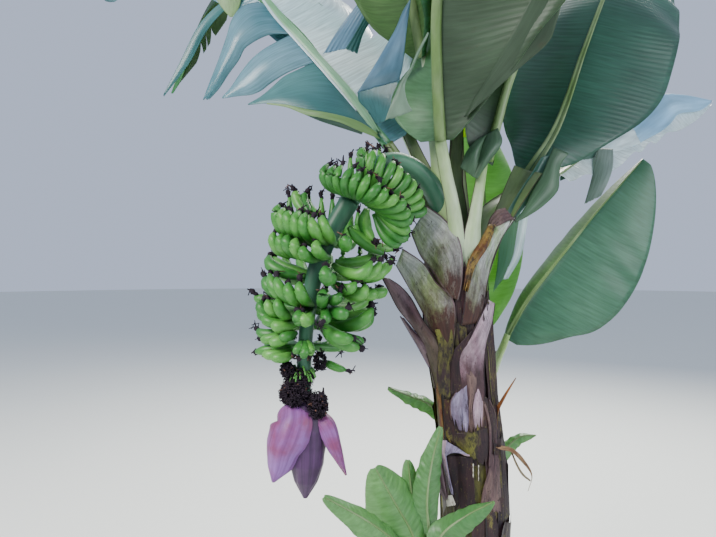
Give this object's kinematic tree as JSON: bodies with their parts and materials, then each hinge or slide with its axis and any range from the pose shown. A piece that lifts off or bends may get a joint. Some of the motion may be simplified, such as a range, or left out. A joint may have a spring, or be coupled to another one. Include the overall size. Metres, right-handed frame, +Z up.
{
  "type": "banana plant",
  "caption": "Young banana plant with arching leaves, a hanging green bunch, an open purple bud and small suckers, rooted in the ground.",
  "frame": {"origin": "centre of the trunk's flat cut at ground level", "axes": "+Z up, the bunch hangs towards -X, -Y is the side that the picture sees"},
  "size_m": [2.6662, 2.83, 3.0127],
  "materials": {
    "trunk": "layered dry leaf sheaths, purple-brown with green and papery grey patches",
    "petiole": "smooth waxy yellow-green with a pale lilac bloom",
    "sheath": "waxy pale green with a purple-brown rim",
    "dry_leaf": "dry and papery",
    "leaf": "satin blade with fine side veins",
    "young_leaf": "satin, light green",
    "stalk": "smooth green with darker stripes",
    "fruit": "smooth unripe skin with a soft shine",
    "flower": "dry and matt",
    "bract": "waxy purple with fine lengthwise grooves"
  },
  "bodies": {
    "root": {"trunk": "trunk", "peduncle_arch": "stalk", "rachis": "stalk", "hand_1": "fruit", "hand_2": "fruit", "hand_3": "fruit", "hand_4": "fruit", "hand_5": "fruit", "hand_6": "fruit", "hand_7": "fruit", "flower_collar": "flower", "bud_heart": "bract", "bract_left": "bract", "bract_right": "bract", "petiole_front": "petiole", "petiole_right": "petiole", "petiole_left": "petiole", "petiole_right_back": "petiole", "petiole_right_front": "petiole", "petiole_top": "petiole", "petiole_left_back": "petiole", "petiole_back": "petiole", "petiole_left_front": "petiole", "leaf_front": "leaf", "leaf_front_tip": "leaf", "leaf_right": "leaf", "leaf_left": "leaf", "leaf_right_back": "leaf", "leaf_right_front": "leaf", "leaf_right_front_tip": "leaf", "leaf_top": "leaf", "leaf_left_back": "leaf", "leaf_left_back_tip": "leaf", "leaf_back": "leaf", "leaf_back_tip": "leaf", "leaf_left_front": "leaf", "leaf_left_front_tip": "leaf", "sheath_left_low": "sheath", "sheath_left_high": "sheath", "stub_left": "sheath", "stub_left_low": "sheath", "stub_right": "sheath", "sheath_flap": "dry_leaf", "dry_strap": "dry_leaf", "dry_spike": "dry_leaf", "sucker_front_stem": "sheath", "sucker_back_stem": "sheath", "petiole_sucker_right": "petiole", "petiole_sucker_back": "petiole", "leaf_sucker_right": "young_leaf", "leaf_sucker_back": "young_leaf", "leaf_front_low_left": "young_leaf", "leaf_front_left": "young_leaf", "leaf_front_rolled": "young_leaf", "leaf_front_upright": "young_leaf", "leaf_front_right": "young_leaf", "leaf_low_left": "young_leaf", "leaf_low_right": "young_leaf"}
  },
  "joints": []
}
